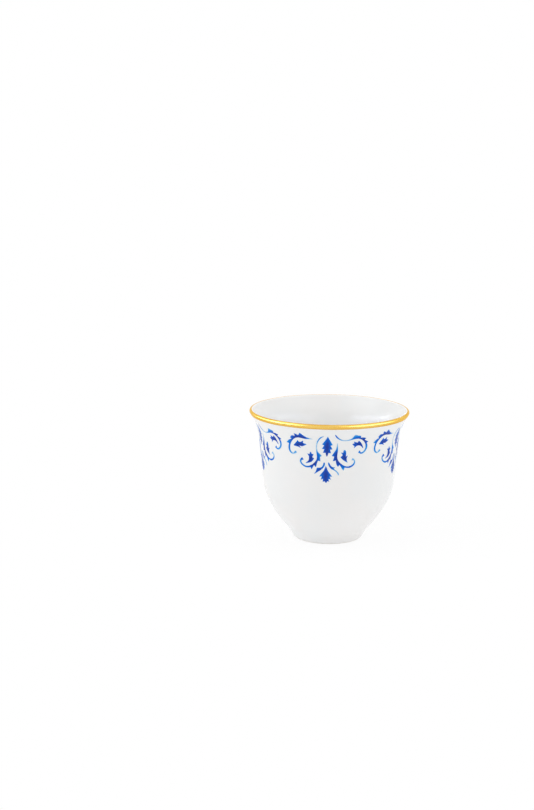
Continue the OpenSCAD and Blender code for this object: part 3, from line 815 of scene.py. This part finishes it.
def white_floor():
    """Matte white table top: near the cup it shows some shade, further off plain white."""
    material = bpy.data.materials.new("white_floor")
    start = emptied(material)
    place = start.node("ShaderNodeTexCoord", output="Object")
    from_cup = start.node("ShaderNodeVectorMath", {"operation": "LENGTH"}, {0: place}, "Value")
    near = 1 - from_cup.between(foot_radius, shadow_reach)
    lit = (seen_ray(start) * (1 - shadow_share * near)).or_more(bounce_share)
    matte = start.node("ShaderNodeBsdfDiffuse", None, {"Color": colour(252, 252, 252)})
    glow = start.node("ShaderNodeEmission", None, {"Color": white, "Strength": 1.0})
    mixed = start.node("ShaderNodeMixShader", None, {0: lit, 1: matte, 2: glow})
    feed(start.tree.nodes.new("ShaderNodeOutputMaterial"), "Surface", mixed)
    return material


floor_bm = bmesh.new()
bmesh.ops.create_grid(floor_bm, x_segments=1, y_segments=1, size=floor_size / 2)
floor = finished_mesh(floor_bm, "table_top")
floor.data.materials.append(white_floor())

# Light
# A white tent, dimmer in front where the camera looks in and brightest overhead, with a soft
# box high on each side. Gloss and metal show it as plain white with a long, low daylight
# window in each side, which leaves the streak on the gold and the glow inside the cup.
front_light, back_light = 0.552, 0.77
front_to_back = -0.8, 0.3
top_light = 0.34
shoulder_to_top = 0.3, 0.95
daylight = 0.92, 0.97, 1.18, 1.0
window_low = -0.02, 0.1
window_high = 0.2, 0.32
window_full = 0.95
soft_box_side = 0.5

# Each window's direction from the cup, its extra brightness and where its pane begins; each
# soft box's place and power
windows = ((-0.98, -0.17, 0.15), 8.5, 0.62), ((0.9, -0.44, 0.15), 5.5, 0.6)
soft_boxes = {
    "left_soft_box": ((-0.55, -0.2, 0.55), 1.1),
    "right_soft_box": ((0.55, -0.2, 0.55), 0.7),
}

world = bpy.data.worlds.new("white_tent")
bpy.context.scene.world = world
air = emptied(world)
tent_place = air.node("ShaderNodeTexCoord", output="Generated")
tent_y = air.node("ShaderNodeSeparateXYZ", None, {0: tent_place}, output="Y")
tent_z = air.node("ShaderNodeSeparateXYZ", None, {0: tent_place}, output="Z")
tent = front_light + (back_light - front_light) * tent_y.between(*front_to_back)
tent = tent + top_light * tent_z.between(*shoulder_to_top)
open_height = tent_z.between(*window_low) * (1 - tent_z.between(*window_high))
bright, open_share = 1.0, 0.0
for side, glow, pane_edge in windows:
    facing = air.node(
        "ShaderNodeVectorMath", {"operation": "DOT_PRODUCT"},
        {0: tent_place, 1: Vector(side).normalized()}, output="Value",
    )
    pane = facing.between(pane_edge, window_full) * open_height
    bright = bright + glow * pane
    open_share = open_share + pane
seen = seen_ray(air)
strength = air.node("ShaderNodeMix", {"data_type": "FLOAT"}, {0: seen, 2: tent, 3: bright})
tone = blend(seen * open_share, white, daylight)
surround = air.node("ShaderNodeBackground", None, {"Color": tone, "Strength": strength})
feed(world.node_tree.nodes.new("ShaderNodeOutputWorld"), "Surface", surround)

for name, (place, power) in soft_boxes.items():
    lamp = bpy.data.lights.new(name, "AREA")
    lamp.shape = "SQUARE"
    lamp.size = soft_box_side
    lamp.energy = power
    holder = bpy.data.objects.new(name, lamp)
    bpy.context.scene.collection.objects.link(holder)
    holder.location = place
    aim = Vector((0, 0, cup_height / 2)) - Vector(place)
    holder.rotation_euler = aim.to_track_quat("-Z", "Y").to_euler()

# Camera
# A long lens that looks down on the cup from the front, and a little from the right, so that
# the print turns to the left. Its pitch, its small roll and its distance were worked out from
# the cup's outline in the photograph.
frame_width_px, frame_height_px = 534, 810
lens_px = 1565.6
sensor_side = 36.0
near_limit = 10 * MM
pitch = math.radians(11.136)
roll = math.radians(0.392)
print_turn = math.radians(3.6)
cup_right, cup_up, cup_away = 26.07 * MM, -28.66 * MM, 664.8 * MM

level_away = Vector((-math.sin(print_turn), math.cos(print_turn), 0))
right = Vector((math.cos(print_turn), math.sin(print_turn), 0))
up = math.sin(pitch) * level_away + Vector((0, 0, math.cos(pitch)))
away = math.cos(pitch) * level_away - Vector((0, 0, math.sin(pitch)))
right, up = (
    right * math.cos(roll) + up * math.sin(roll),
    up * math.cos(roll) - right * math.sin(roll),
)
cup_middle = Vector((0, 0, cup_height / 2))
camera = bpy.data.objects.new("camera", bpy.data.cameras.new("camera"))
bpy.context.scene.collection.objects.link(camera)
camera.data.sensor_width = sensor_side
camera.data.lens = lens_px / max(frame_width_px, frame_height_px) * sensor_side
camera.data.clip_start = near_limit
camera.location = cup_middle - (cup_right * right + cup_up * up + cup_away * away)
camera.rotation_mode = "QUATERNION"
camera.rotation_quaternion = Matrix((right, up, -away)).transposed().to_quaternion()
bpy.context.scene.camera = camera
bpy.context.scene.view_settings.view_transform = "Standard"
